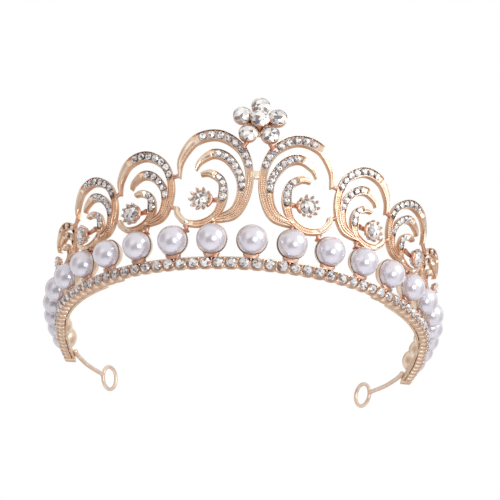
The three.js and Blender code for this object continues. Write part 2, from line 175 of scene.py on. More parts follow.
def plan_at(distance):
    """x, y and outward direction of the band's plan at a distance from the middle of the front."""
    side = -1 if distance < 0 else 1
    length = abs(distance)
    join = FRONT_HALF_LENGTH / FRONT_RADIUS
    if length <= FRONT_HALF_LENGTH:
        turn, radius, x, y = length / FRONT_RADIUS, FRONT_RADIUS, 0.0, 0.0
    else:
        turn, radius = join + (length - FRONT_HALF_LENGTH) / SIDE_RADIUS, SIDE_RADIUS
        x = (FRONT_RADIUS - SIDE_RADIUS) * math.sin(join)
        y = (SIDE_RADIUS - FRONT_RADIUS) * math.cos(join)
    return side * (x + radius * math.sin(turn)), y - radius * math.cos(turn) + SHIFT_Y, side * turn


def lean(rise):
    return (rise - PEARL_RISE) * math.sin(FLARE)


def on_tiara(along, rise, outward):
    x, y, turn = plan_at(along)
    reach = lean(rise) + outward
    return Vector((x + reach * math.sin(turn), y - reach * math.cos(turn), rise * math.cos(FLARE))) * MM


def bent(shape, along=0.0, rise=0.0, outward=0.0):
    """The shape bent onto the tiara, so that what is level in the drawing stays level."""
    points, faces = shape
    return [on_tiara(along + p[0], rise + p[2], outward - p[1]) for p in points], faces


def slope_frame(along, rise, outward):
    """Matrix that stands a rigid shape on the slope."""
    turn = plan_at(along)[2]
    return (Matrix.Translation(on_tiara(along, rise, outward)) @ Matrix.Rotation(turn, 4, "Z")
            @ Matrix.Rotation(FLARE, 4, "X") @ Matrix.Scale(MM, 4))


def moved(shape, matrix):
    points, faces = shape
    return [matrix @ Vector(p) for p in points], faces


# ---- shapes: (points, faces) ----

def loft(rings, closed=False):
    count = len(rings[0])
    points = [Vector(p) for ring in rings for p in ring]
    pairs = [(i, i + 1) for i in range(len(rings) - 1)]
    if closed:
        pairs.append((len(rings) - 1, 0))
    faces = []
    for low, high in pairs:
        for i in range(count):
            j = (i + 1) % count
            faces.append((low * count + i, low * count + j, high * count + j, high * count + i))
    if not closed:
        faces.append(tuple(reversed(range(count))))
        faces.append(tuple(range((len(rings) - 1) * count, len(rings) * count)))
    return points, faces


def turned(profile, segments=32, closed=False):
    """A shape turned about the outward axis: profile is a list of (radius, outward)."""
    points, rows = [], []
    for radius, outward in profile:
        if radius < 1e-6:
            rows.append([len(points)] * segments)
            points.append(Vector((0, -outward, 0)))
            continue
        rows.append(list(range(len(points), len(points) + segments)))
        for i in range(segments):
            angle = 2 * math.pi * i / segments
            points.append(Vector((radius * math.sin(angle), -outward, radius * math.cos(angle))))
    pairs = list(zip(rows, rows[1:] + rows[:1] if closed else rows[1:]))
    faces = []
    for low, high in pairs:
        for i in range(segments):
            j = (i + 1) % segments
            face = list(dict.fromkeys((low[i], low[j], high[j], high[i])))
            if len(face) > 2:
                faces.append(tuple(face))
    return points, faces


def arc_profile(radius, start, stop, steps):
    angles = [start + (stop - start) * i / steps for i in range(steps + 1)]
    return [(max(0.0, radius * math.sin(a)), -radius * math.cos(a)) for a in angles]


def ball(radius, segments=8):
    return turned(arc_profile(radius, 0, math.pi, segments // 2), segments)


def spline(points, t):
    """Point of a smooth line through the points, with t from 0 to 1."""
    last = len(points) - 1
    place = t * last
    i = min(int(place), last - 1)
    u = place - i
    before, a, b, after = (points[max(i - 1, 0)], points[i], points[i + 1], points[min(i + 2, last)])
    result = []
    for p0, p1, p2, p3 in zip(before, a, b, after):
        v0, v1 = (p2 - p0) / 2, (p3 - p1) / 2
        cubic = 2 * p1 - 2 * p2 + v0 + v1
        square = 3 * p2 - 3 * p1 - 2 * v0 - v1
        result.append(cubic * u ** 3 + square * u ** 2 + v0 * u + p1)
    return tuple(result)


def tube(path, radii, segments=10):
    """Round tube through 3-D points, with a radius at each."""
    path = [Vector(p) for p in path]
    side = Vector((0, 0, 1))
    rings = []
    for i, (point, radius) in enumerate(zip(path, radii)):
        ahead = (path[min(i + 1, len(path) - 1)] - path[max(i - 1, 0)]).normalized()
        if abs(ahead.dot(side)) > 0.95:
            side = Vector((1, 0, 0))
        first = ahead.cross(side).normalized()
        second = ahead.cross(first)
        angles = [2 * math.pi * k / segments for k in range(segments)]
        rings.append([point + radius * (first * math.cos(a) + second * math.sin(a)) for a in angles])
    return loft(rings)


def round_ended(path, radius, segments=10, cap=0.6):
    """A tube whose two ends are rounded off."""
    path = [Vector(p) for p in path]
    start = (path[0] - path[1]).normalized()
    stop = (path[-1] - path[-2]).normalized()
    line = [path[0] + start * radius * cap, path[0] + start * radius * cap * 0.6, *path,
            path[-1] + stop * radius * cap * 0.6, path[-1] + stop * radius * cap]
    taper = [radius * 0.35, radius * 0.8]
    return tube(line, [*taper, *[radius] * len(path), *reversed(taper)], segments)


def rounded_section(low, high, bevel):
    """Outline of a rounded bar: low and high are (outward, rise)."""
    (o0, r0), (o1, r1) = low, high
    corners = ((o1 - bevel, r1 - bevel, 0), (o0 + bevel, r1 - bevel, 1), (o0 + bevel, r0 + bevel, 2),
               (o1 - bevel, r0 + bevel, 3))
    outline = []
    for outward, rise, quarter in corners:
        for k in range(4):
            angle = math.pi / 2 * (quarter + k / 3)
            outline.append((outward + bevel * math.cos(angle), rise + bevel * math.sin(angle)))
    return outline


def bar(start, stop, low, high, bevel=0.2, steps=1):
    """Bevelled bar that follows the band from start to stop."""
    centre_o, centre_r = (low[0] + high[0]) / 2, (low[1] + high[1]) / 2
    outline = rounded_section(low, high, bevel)
    shrink = 1 - bevel / max(high[1] - low[1], high[0] - low[0])
    small = [(centre_o + (o - centre_o) * shrink, centre_r + (r - centre_r) * shrink) for o, r in outline]
    stations = [start + bevel + (stop - start - 2 * bevel) * i / steps for i in range(steps + 1)]
    rings = [[(start, -o, r) for o, r in small]]
    rings += [[(place, -o, r) for o, r in outline] for place in stations]
    rings.append([(stop, -o, r) for o, r in small])
    return bent(loft(rings))


# ---- pieces ----

def piece(name, shapes, material, replaces=(), sharp=35, facets=None, shade_tints=None):
    """One object of the looks, made of shapes in metres.

    Each face of a stone takes a tone of painted reflection and shade, and each face of a shape a tint of painted
    shade, listed by the shape's number.
    """
    points, faces, colours = [], [], []
    for number, (shape_points, shape_faces) in enumerate(shapes):
        offset = len(points)
        points.extend(shape_points)
        faces.extend(tuple(index + offset for index in face) for face in shape_faces)
        colours.extend((shade_tints or {}).get(number, [PLAIN] * len(shape_faces)))
    if facets is not None:
        colours = [(tone, tone, tone) for tone in facets]
    mesh = bpy.data.meshes.new(name)
    mesh.from_pydata([tuple(p) for p in points], [], faces)
    build = bmesh.new()
    build.from_mesh(mesh)
    bmesh.ops.recalc_face_normals(build, faces=build.faces)
    build.to_mesh(mesh)
    build.free()
    if facets is None:
        mesh.shade_smooth()
        mesh.set_sharp_from_angle(angle=math.radians(sharp))
    # The faces carry their painted shade, or a stone facet's painted reflection and shade, as a colour.
    painted = mesh.attributes.new("tint", "FLOAT_COLOR", "CORNER")
    for polygon, colour in zip(mesh.polygons, colours):
        for corner in polygon.loop_indices:
            painted.data[corner].color = (*colour, 1)
    mesh.materials.append(material)
    thing = bpy.data.objects.new(name, mesh)
    bpy.context.scene.collection.objects.link(thing)
    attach(thing, "root")
    if replaces:
        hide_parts(*replaces)
    return thing


# ---- materials ----

def new_material(name, **values):
    material = bpy.data.materials.new(name)
    material.use_nodes = True
    shader = material.node_tree.nodes["Principled BSDF"]
    for socket, value in values.items():
        shader.inputs[socket.replace("_", " ")].default_value = value
    return material, material.node_tree.nodes, material.node_tree.links, shader


def add_noise(nodes, links, scale, detail=3.0):
    place = nodes.new("ShaderNodeTexCoord")
    noise = nodes.new("ShaderNodeTexNoise")
    noise.inputs["Scale"].default_value = scale
    noise.inputs["Detail"].default_value = detail
    links.new(place.outputs["Object"], noise.inputs["Vector"])
    return noise


def add_ramp(nodes, links, source, stops):
    ramp = nodes.new("ShaderNodeValToRGB")
    ramp.color_ramp.elements[0].position, ramp.color_ramp.elements[0].color = stops[0]
    ramp.color_ramp.elements[1].position, ramp.color_ramp.elements[1].color = stops[-1]
    for position, colour in stops[1:-1]:
        ramp.color_ramp.elements.new(position).color = colour
    links.new(source, ramp.inputs["Fac"])
    return ramp


def add_bump(nodes, links, shader, source, strength, distance):
    bump = nodes.new("ShaderNodeBump")
    bump.inputs["Strength"].default_value = strength
    bump.inputs["Distance"].default_value = distance
    links.new(source, bump.inputs["Height"])
    links.new(bump.outputs["Normal"], shader.inputs["Normal"])


# The tint attribute carries painted shade on the metal and painted reflections and shade on the stones' facets.
def add_tint(nodes):
    tint = nodes.new("ShaderNodeAttribute")
    tint.attribute_name = "tint"
    return tint


def add_product(nodes, links, first, second):
    mix = nodes.new("ShaderNodeMix")
    mix.data_type, mix.blend_type = "RGBA", "MULTIPLY"
    mix.inputs["Factor"].default_value = 1.0
    links.new(first, mix.inputs["A"])
    links.new(second, mix.inputs["B"])
    return mix.outputs["Result"]


def metal(name, dark, light, roughness, grain, strength):
    """Plated metal: slow colour changes, painted shade from the faces' tints, uneven polish and a fine cast
    grain.
    """
    material, nodes, links, shader = new_material(name, Metallic=1.0)
    slow = add_noise(nodes, links, 260.0)
    plating = add_ramp(nodes, links, slow.outputs["Fac"], [(0.35, (*dark, 1)), (0.65, (*light, 1))])
    # The base colour is darkened by the painted shade stored on the faces.
    tinted = add_product(nodes, links, plating.outputs["Color"], add_tint(nodes).outputs["Color"])
    links.new(tinted, shader.inputs["Base Color"])
    polish = add_noise(nodes, links, 900.0)
    low, high = roughness
    shade = add_ramp(nodes, links, polish.outputs["Fac"], [
        (0.3, (low, low, low, 1)), (0.7, (high, high, high, 1)),
    ])
    links.new(shade.outputs["Color"], shader.inputs["Roughness"])
    fine = add_noise(nodes, links, grain, 2.0)
    add_bump(nodes, links, shader, fine.outputs["Fac"], strength, 0.00008)
    return material


def pearl_lustre():
    """White pearl: a lavender body, a little light under the skin and a clear, slightly uneven top coat."""
    material, nodes, links, shader = new_material(
        "pearl_lustre", Metallic=0.45, Roughness=0.24, Coat_Weight=1.0, Coat_Roughness=0.05,
        Subsurface_Weight=0.1, Subsurface_Scale=0.002, IOR=1.6,
    )
    shader.inputs["Subsurface Radius"].default_value = (1.0, 0.9, 1.0)
    cloud = add_noise(nodes, links, 220.0, 1.0)
    body = add_ramp(nodes, links, cloud.outputs["Fac"], [
        (0.3, (0.72, 0.69, 0.76, 1)), (0.5, (0.74, 0.72, 0.79, 1)), (0.7, (0.78, 0.73, 0.78, 1)),
    ])
    links.new(body.outputs["Color"], shader.inputs["Base Color"])
    add_bump(nodes, links, shader, cloud.outputs["Fac"], 0.03, 0.0002)
    return material


def rhinestone():
    """Foil-backed cut glass under a hard clear surface: each facet takes a painted tone, from dark shade to
    white reflection, with painted coloured reflections over it.
    """
    material, nodes, links, shader = new_material(
        "rhinestone", Metallic=0.4, Roughness=0.05, Coat_Weight=1.0, Coat_Roughness=0.02,
    )
    # Painted reflection and shade: the facet's tone runs from near black to white.
    tone = add_ramp(nodes, links, add_tint(nodes).outputs["Fac"], [
        (0.0, (0.08, 0.07, 0.075, 1)), (0.35, (0.30, 0.28, 0.30, 1)), (0.6, (0.62, 0.60, 0.60, 1)),
        (1.0, (1.0, 1.0, 1.0, 1)),
    ])
    # Painted coloured reflections, cool white to peach, in soft patches.
    cloud = add_noise(nodes, links, 1500.0, 1.0)
    reflection_tint = add_ramp(nodes, links, cloud.outputs["Fac"], [
        (0.3, (0.86, 0.88, 0.94, 1)), (0.52, (1.0, 0.98, 0.95, 1)), (0.66, (0.97, 0.86, 0.72, 1)),
    ])
    product = add_product(nodes, links, tone.outputs["Color"], reflection_tint.outputs["Color"])
    links.new(product, shader.inputs["Base Color"])
    return material


GOLD = metal("champagne_gold", (0.87, 0.64, 0.48), (0.97, 0.83, 0.67), (0.26, 0.42), 2600.0, 0.18)
BAND_GOLD = metal("band_gold", (0.83, 0.62, 0.48), (0.95, 0.80, 0.64), (0.26, 0.44), 3200.0, 0.2)
SOLDER = metal("copper_solder", (0.60, 0.32, 0.22), (0.78, 0.49, 0.36), (0.30, 0.46), 1800.0, 0.3)
WIRE = metal("wire_gold", (0.84, 0.65, 0.52), (0.93, 0.77, 0.63), (0.42, 0.52), 2600.0, 0.2)
PEARL = pearl_lustre()
STONE = rhinestone()


# ---- stones ----

def brilliant(radius, sides=8, crown=0.36, pavilion=0.42, seed=0):
    """Round brilliant: a table cut into wedges by the light in it, stars, kites, girdle facets and a point."""
    chance = random.Random(seed)

    def ring(share, outward, count, offset=0.0):
        angles = [2 * math.pi * (i + offset) / count for i in range(count)]
        return [(radius * share * math.sin(a), -outward * radius, radius * share * math.cos(a)) for a in angles]

    table = ring(0.56, crown, sides)
    crown_points = ring(0.80, crown * 0.55, sides, 0.5)
    girdle = ring(1.0, 0.03, 2 * sides)
    lower = ring(1.0, -0.03, 2 * sides)
    points = [(0, -crown * radius, 0), *table, *crown_points, *girdle, *lower, (0, pavilion * radius, 0)]
    first_table, first_crown = 1, 1 + sides
    first_girdle, first_lower = 1 + 2 * sides, 1 + 4 * sides
    point = 1 + 6 * sides
    faces, tones = [], []

    # Each facet takes a painted tone of reflection and shade, picked at random from its choices.
    def facet(indices, *choices):
        faces.append(tuple(indices))
        tones.append(chance.choice(choices))

    for i in range(sides):
        j, before = (i + 1) % sides, (i - 1) % sides
        tables = (first_table + i, first_table + j)
        facet((0, *tables), 1.0, 1.0, 0.9, 0.65, 0.2)
        facet((tables[0], first_crown + i, tables[1]), 1.0, 0.8, 0.5, 1.0, 0.15)
        facet((tables[0], first_crown + before, first_girdle + 2 * i, first_crown + i), 1.0, 0.75, 0.3, 0.5)
        for k in (0, 1):
            a, b = (2 * i + k) % (2 * sides), (2 * i + k + 1) % (2 * sides)
            facet((first_crown + i, first_girdle + a, first_girdle + b), 0.15, 0.5, 1.0, 0.35, 0.7)
    for i in range(2 * sides):
        j = (i + 1) % (2 * sides)
        facet((first_girdle + i, first_lower + i, first_lower + j, first_girdle + j), 0.5)
        facet((first_lower + i, point, first_lower + j), 0.3, 0.6)
    return [Vector(p) for p in points], faces, tones


class StoneSet:
    """Stones that end up in one piece."""

    def __init__(self):
        self.shapes, self.tones = [], []

    def add(self, radius, matrix, sides=8, seed=0, glint_gain=1.0):
        points, faces, tones = brilliant(radius, sides, seed=seed)
        spin = Matrix.Rotation(random.Random(seed).uniform(0, math.pi / 4), 4, "Y")
        self.shapes.append(([matrix @ spin @ p for p in points], faces))
        # The facets' painted tones of reflection and shade are scaled brighter or darker.
        self.tones.extend(min(1.0, tone * glint_gain) for tone in tones)

    def add_shaded_beads(self, shape, tone):
        """Metal that belongs to the stones, such as the beads that hold them, with a flat tone of painted shade.
        """
        self.shapes.append(shape)
        self.tones.extend([tone] * len(shape[1]))

    def make(self, name, replaces=()):
        return piece(name, self.shapes, STONE, replaces, facets=self.tones)


# ---- pearls, cups and feet ----

def pearl_places():
    return [(i - PEARL_COUNT // 2) * PEARL_PITCH for i in range(PEARL_COUNT)]


def make_pearls():
    edge = math.asin(PEG_HOLE / PEARL_RADIUS)
    skin = arc_profile(PEARL_RADIUS, edge, math.pi, 28)
    hole = [(0, PEG_DEPTH - PEARL_RADIUS), (PEG_HOLE, PEG_DEPTH - PEARL_RADIUS)]
    bead = turned(hole + skin, 48)
    for number, place in enumerate(pearl_places(), start=1):
        chance = random.Random(100 + number)
        size = chance.uniform(0.992, 1.0)
        spin = Matrix.Rotation(chance.uniform(0, 6), 4, "Y") @ Matrix.Scale(size, 4)
        shape = moved(bead, slope_frame(place, PEARL_RISE, 0) @ spin)
        piece(f"pearl_bead_{number:02d}", [shape], PEARL, [f"pearl_{number:02d}"])


def cup_shell():
    inner = CUP_RADIUS - CUP_WALL
    outer = CUP_RADIUS - CUP_INSET
    outer_arc = arc_profile(outer, 0, math.acos(CUP_LIP / outer), 14)
    inner_arc = arc_profile(inner, math.acos(CUP_LIP / inner), 0, 14)
    rim = [(outer - CUP_WALL * 0.4, -CUP_LIP + 0.12)]
    return turned(outer_arc + rim + inner_arc, 40)


def cup_foot():
    """Funnel of solder between the band and a cup: widest at the top, where it follows the pearl."""
    half, flat, floor, steps = FOOT_HALF_WIDTH, FOOT_FLAT, BAND_HEIGHT + JOINT_LIFT, 20
    rings = []
    for step in range(steps + 1):
        x = -half + 2 * half * step / steps
        top = PEARL_RISE - math.sqrt((PEARL_RADIUS + 0.12) ** 2 - x * x) / math.cos(FLARE)
        beyond = max(0.0, abs(x) - flat) / (half - flat)
        low = floor + beyond ** 1.4 * (top - floor - 0.3)
        depth = 1.0 * math.sqrt(max(0.0, 1 - (x / half) ** 2)) + 0.15
        outline = rounded_section((-depth - 0.9, low), (depth - 0.5, top), min(0.14, (top - low) / 2.2))
        rings.append([(x, -o, r) for o, r in outline])
    return loft(rings)


def lower_edge(design, place):
    """Rise of a scroll's lowest metal over a post."""
    samples = [s for stroke in strokes_of(design, 1) for s in stroke["samples"]]
    return min(s["rise"] - s["half"] for s in samples if abs(s["along"] - place) < 1.6)


def post(place, low, top):
    """Post of solder from a cup to a scroll, wider at both ends."""
    middle = SCROLL_FRONT + SCROLL_THICKNESS / 2
    rings = []
    for share, radius in ((0, 1.15), (0.2, 0.85), (0.5, 0.72), (0.8, 0.85), (1, 1.2)):
        rise = low + (top - low) * share
        angles = [2 * math.pi * k / 14 for k in range(14)]
        rings.append([(place + radius * math.cos(a), middle + radius * math.sin(a), rise) for a in angles])
    return loft(rings)


def make_gallery():
    runner_end = BAND_HALF_LENGTH - BAND_END_BLOCK
    floor = BAND_HEIGHT + JOINT_LIFT
    cups = [moved(cup_shell(), slope_frame(place, PEARL_RISE, 0)) for place in pearl_places()]
    runner = bar(-runner_end, runner_end, (-1.3, floor), (0.3, floor + 0.5), 0.15, 110)
    piece("pearl_cups", [runner, *cups], GOLD, ["pearl_gallery"], sharp=45)
    joints = [bent(cup_foot(), along=place) for place in pearl_places()]
    for design in SCROLLS:
        for place in design["posts"]:
            nearest = PEARL_PITCH * round(place / PEARL_PITCH)
            aside = max(0.0, abs(place - nearest) - POST_RADIUS)
            low = PEARL_RISE + math.sqrt(CUP_RADIUS ** 2 - aside ** 2) - 0.5
            top = lower_edge(design, place) + 0.35
            joints += [bent(post(side * place, low, top)) for side in SIDES.values()]
    piece("solder_feet_and_posts", joints, SOLDER, sharp=50)


# ---- stone band ----

def superellipse(half_x, half_z, outward, power, count=LINK_SEGMENTS):
    """Ring between an ellipse, at power 2, and a rectangle, at a high power."""
    ring = []
    for i in range(count):
        angle = 2 * math.pi * i / count
        s, c = math.sin(angle), math.cos(angle)
        size = (abs(s) ** power + abs(c) ** power) ** (-1 / power)
        ring.append((half_x * s * size, -outward, half_z * c * size))
    return ring


def band_link(back, square):
    """Cup for one stone, with rounded corners that leave notches between neighbours."""
    half = LINK_PITCH / 2
    tall = BAND_HEIGHT / 2
    seat = BAND_STONE_RADIUS
    body = [
        superellipse(half - 0.22, tall - 0.55, -back, square),
        superellipse(half - 0.06, tall - 0.15, -back + 0.2, square),
        superellipse(half - 0.03, tall - 0.02, -back + 0.6, square),
        superellipse(half - 0.02, tall, 0.1, 3.0),
        superellipse(half - 0.1, tall - 0.06, 0.75, 2.4),
    ]
    bezel = [
        superellipse(seat + 0.1, seat - 0.1, 0.98, 2.1),
        superellipse(seat, seat - 0.16, 0.9, 2.0),
        superellipse(seat * 0.94, seat * 0.88, 0.5, 2.0),
        superellipse(0.3, 0.3, 0.1, 2.0),
    ]
    lifted = [[(x, y, z + BAND_STONE_LIFT) for x, y, z in ring] for ring in bezel]
    return loft(body + lifted)


def link_places():
    """The links share out the band between its end blocks."""
    run = BAND_HALF_LENGTH - BAND_END_BLOCK
    count = round(2 * run / LINK_PITCH)
    return [(i - (count - 1) / 2) * 2 * run / count for i in range(count)]


def make_band():
    middle = BAND_HEIGHT / 2
    places = link_places()
    bead = ball(0.36, 10)
    slim, deep = band_link(*SLIM_LINK), band_link(*DEEP_LINK)
    shapes = [bent(deep if abs(place) > SIDE_LINKS_FROM else slim, place, middle) for place in places]
    # Painted shade on the links: coppery on the front bevel, darker on the faces between the stones, and grey
    # inside the bezels.
    rows = (PLAIN, PLAIN, PLAIN, COPPERY_SHADE, SHADED, SHADED, GREY_SHADE, GREY_SHADE)
    link_shade_tints = [tint for tint in rows for _ in range(LINK_SEGMENTS)] + [PLAIN, PLAIN]
    shade_tints = {i: link_shade_tints for i in range(len(shapes))}
    core_end = BAND_HALF_LENGTH - 0.5
    shapes.append(bar(-core_end, core_end, (-1.1, 0.6), (0.3, BAND_HEIGHT - 0.6), 0.2, 110))
    for place in places[:-1]:
        for rise in (middle - 1.2, middle + 1.35):
            shapes.append(bent(bead, place + LINK_PITCH / 2, rise, 0.8))
    for side in SIDES.values():
        start = BAND_HALF_LENGTH - BAND_END_BLOCK
        ends = sorted((side * start, side * (BAND_HALF_LENGTH - 0.02)))
        shapes.append(bar(*ends, (-STRIP_INNER, 0), (BAND_HALF_DEPTH, BAND_HEIGHT - 0.1), 0.5, 3))
        for outward in (-2.2, -0.4):
            knob = turned([(0.0, -0.2), (0.62, -0.2), (0.62, 0.16), (0.34, 0.22), (0.3, -0.1), (0, -0.1)], 14)
            facing = Matrix.Rotation(side * math.pi / 2, 4, "Z")
            shapes.append(bent(moved(knob, facing), side * (BAND_HALF_LENGTH - 0.25), middle, outward))
    piece("stone_band_links", shapes, BAND_GOLD, ["stone_band"], sharp=40, shade_tints=shade_tints)
    stones = StoneSet()
    for number, place in enumerate(places):
        seat = slope_frame(place, middle + BAND_STONE_LIFT, BAND_STONE_OUTWARD)
        stones.add(BAND_STONE_RADIUS, seat, seed=500 + number, glint_gain=BAND_GLINT_GAIN)
    stones.make("band_stones")


def make_inner_strip(name, side):
    stop = BAND_HALF_LENGTH - BAND_END_BLOCK - 0.1
    ends = sorted((side * STRIP_START, side * stop))
    shapes = [bar(*ends, (-STRIP_INNER, STRIP_BOTTOM), (-STRIP_SETBACK, STRIP_TOP), 0.22, 60)]
    for i in range(3):
        place = side * (STRIP_START + 2 * TAB_HALF_WIDTH + i * TAB_SPACING)
        low, high = (-STRIP_SETBACK - 0.4, 0.8), (-BAND_HALF_DEPTH + 0.1, 2.4)
        shapes.append(bar(place - TAB_HALF_WIDTH, place + TAB_HALF_WIDTH, low, high, 0.2, 2))
    tip = side * (STRIP_START + 0.9)
    shapes.append(bent(ball(1.0, 14), tip, 1.3, -STRIP_SETBACK - 0.2))
    piece(f"stiffening_strip_{name}", shapes, GOLD, [f"inner_strip_{name}"], sharp=45)


# ---- scrolls ----

def sample_stroke(points, design, side, kept, count=120):
    """Middle line of a stroke on its scroll, with its direction across and half width at each sample."""
    def place(along, up):
        return (side * (design["start"] + along * design["width"] / DESIGN_WIDTH),
                SCROLL_BASE + design["lift"] + up * kept * design["height"] / DESIGN_HEIGHT)

    line = [place(along, up) for along, up, _ in points]
    widths = [(half * design["weight"],) for _, _, half in points]
    samples, length, previous = [], 0.0, None
    for i in range(count + 1):
        t = i / count
        along, rise = spline(line, t)
        ahead, behind = spline(line, min(1.0, t + 0.004)), spline(line, max(0.0, t - 0.004))
        run = math.hypot(ahead[0] - behind[0], ahead[1] - behind[1])
        if previous:
            length += math.hypot(along - previous[0], rise - previous[1])
        previous = (along, rise)
        samples.append(dict(
            t=t, place=t * (len(points) - 1), along=along, rise=rise, half=spline(widths, t)[0], length=length,
            across=(-(ahead[1] - behind[1]) / run, (ahead[0] - behind[0]) / run),
        ))
    return samples


# Stones sit between these places of each stroke, counted in its points, and fine beads between the others.
STROKES = [
    dict(points=HOOP, kept=None, stones=(2.12, 4.75), grain=(5.05, 7.5), proud=0.0),
    dict(points=CRESCENT, kept="crescent", stones=(1.95, 4.75), grain=(4.85, 6.7), proud=0.06),
    dict(points=CURL, kept="curl", stones=(1.4, 3.2), grain=(3.35, 5.6), proud=0.1),
]


def strokes_of(design, side):
    found = []
    for stroke in STROKES:
        kept = design[stroke["kept"]] if stroke["kept"] else 1.0
        found.append(dict(stroke, samples=sample_stroke(stroke["points"], design, side, kept)))
    return found


def smooth_step(low, high, value):
    share = min(1.0, max(0.0, (value - low) / (high - low)))
    return share * share * (3 - 2 * share)


def stroke_ring(sample, stroke):
    """Section of a stroke: two raised rims with a channel between them, which closes to a ridge at the tips."""
    half, place = sample["half"], sample["place"]
    size = min(1.0, half / 0.9)
    start, middle, stop = *stroke["stones"], stroke["grain"][1] + 0.25
    stones = smooth_step(start - 0.22, start, place) * (1 - smooth_step(middle, middle + 0.16, place))
    groove = smooth_step(middle, middle + 0.2, place) * (1 - smooth_step(stop, stop + 0.3, place))
    depth = (CHANNEL_DEPTH * stones + GROOVE_DEPTH * groove) * size
    ridge = 0.30 * (1 - max(stones, groove)) * size
    rim = min(0.42 - 0.16 * stones, 0.4 * half)
    back = SCROLL_THICKNESS
    profile = [
        (-half, -0.45), (-half + 0.05, -0.14), (-half + 0.35 * rim, 0.0), (-half + 0.8 * rim, -0.02),
        (-half + rim, -depth), (-0.35 * half, -depth + 0.7 * ridge), (0.0, -depth + ridge),
    ]
    profile += [(-across, outward) for across, outward in reversed(profile[:-1])]
    profile += [(half, -back + 0.4), (half - 0.3 * rim, -back + 0.1), (half * 0.4, -back),
                (-half * 0.4, -back), (-half + 0.3 * rim, -back + 0.1), (-half, -back + 0.4)]
    across_along, across_rise = sample["across"]
    base = -SCROLL_FRONT + stroke["proud"]
    return [(sample["along"] + a * across_along, -(base + o), sample["rise"] + a * across_rise)
            for a, o in profile]


def stroke_shade_tints(samples, stroke):
    """Painted shade on the faces that loft() makes from a stroke's rings: coppery on the walls and bevels and on
    the floor of the bead groove, grey under the stones.
    """
    walls, floor, count = (0, 1, 3, 8, 10, 11, 12, 18), (4, 5, 6, 7), 19
    start, stop = stroke["stones"]
    shade_tints = []
    for sample in samples[:-1]:
        row = [PLAIN] * count
        for i in walls:
            row[i] = COPPERY_SHADE
        if start < sample["place"] < stop:
            for i in floor:
                row[i] = GREY_SHADE
        elif stop < sample["place"] < stroke["grain"][1]:
            for i in floor:
                row[i] = COPPERY_SHADE
        shade_tints.extend(row)
    return [*shade_tints, PLAIN, PLAIN]


def at_length(samples, length):
    """The sample at a length along a stroke."""
    for low, high in zip(samples, samples[1:]):
        if high["length"] >= length:
            share = (length - low["length"]) / max(1e-9, high["length"] - low["length"])
            keys = ("along", "rise", "half", "place")
            mixed = {key: low[key] + share * (high[key] - low[key]) for key in keys}
            mixed["across"] = low["across"]
            return mixed
    return samples[-1]


def spaced(samples, zone, pitch):
    """Places along a stroke that share a zone out evenly, at about this pitch."""
    inside = [s["length"] for s in samples if zone[0] <= s["place"] <= zone[1]]
    run = inside[-1] - inside[0]
    count = max(1, round(run / pitch))
    return [at_length(samples, inside[0] + (i + 0.5) * run / count) for i in range(count)]


def beside(sample, across):
    """Point at a distance across from a sample's middle line."""
    return sample["along"] + across * sample["across"][0], sample["rise"] + across * sample["across"][1]


def make_scroll(name, side, number, design):
    sparse = number == 4
    shapes, shade_tints, stones = [], {}, StoneSet()
    bead, grain = ball(0.24, 8), ball(GRAIN_RADIUS, 8)
    for order, stroke in enumerate(strokes_of(design, side)):
        samples = stroke["samples"]
        shade_tints[len(shapes)] = stroke_shade_tints(samples, stroke)
        shapes.append(bent(loft([stroke_ring(s, stroke) for s in samples])))
        front = -SCROLL_FRONT + stroke["proud"]
        radius = min(PAVE_RADIUS, 0.8 * max(s["half"] for s in samples))
        pitch = SPARSE_PITCH if sparse else PAVE_PITCH * radius / PAVE_RADIUS
        places = spaced(samples, stroke["stones"], pitch)
        for i, spot in enumerate(places):
            size = min(radius, spot["half"] - 0.15)
            matrix = slope_frame(spot["along"], spot["rise"], front - 0.22)
            stones.add(size, matrix, 6, seed=1000 * number + 100 * order + i + 50 * (side > 0))
            if sparse:
                bezel = [(size - 0.05, -0.4), (size + 0.3, -0.4), (size + 0.26, 0.1), (size, 0.16)]
                stand = slope_frame(spot["along"], spot["rise"], front - 0.1)
                shapes.append(moved(turned(bezel, 20, closed=True), stand))
        if not sparse:
            for a, b in zip(places, places[1:]):
                along, rise = (a["along"] + b["along"]) / 2, (a["rise"] + b["rise"]) / 2
                middle = dict(along=along, rise=rise, across=a["across"])
                for across in (-1, 1):
                    where = beside(middle, across * (a["half"] - 0.5))
                    # The beads between the stones are painted grey as shade.
                    stones.add_shaded_beads(bent(bead, where[0], where[1], front - 0.14), 0.62)
        for spot in spaced(samples, stroke["grain"], 2.5 * GRAIN_RADIUS):
            rows = (-0.36, 0.36) if spot["half"] > 1.15 else (0.0,)
            for across in rows:
                where = beside(spot, across)
                shapes.append(bent(grain, where[0], where[1], front - GROOVE_DEPTH + 0.06))
    if number == 1 and side < 0:
        start = SCROLLS[0]["start"]
        low, high = (-SCROLL_FRONT - 1.45, SCROLL_BASE + 16.6), (-SCROLL_FRONT - 0.3, SCROLL_BASE + 19.2)
        shapes.append(bar(-start - 0.9, start + 0.35, low, high, 0.35, 2))
    piece(f"scroll_casting_{name}_{number}", shapes, GOLD, [f"scroll_{name}_{number}"],
          sharp=38, shade_tints=shade_tints)
    stones.make(f"scroll_stones_{name}_{number}")


def nearest_edge(design, along, rise):
    """Point on the edge of a scroll's metal that lies nearest to a place."""
    edges = []
    for stroke in strokes_of(design, 1):
        for sample in stroke["samples"]:
            edges += [beside(sample, across) for across in (-sample["half"] * 0.8, sample["half"] * 0.8)]
    return min(edges, key=lambda edge: math.hypot(edge[0] - along, edge[1] - rise))


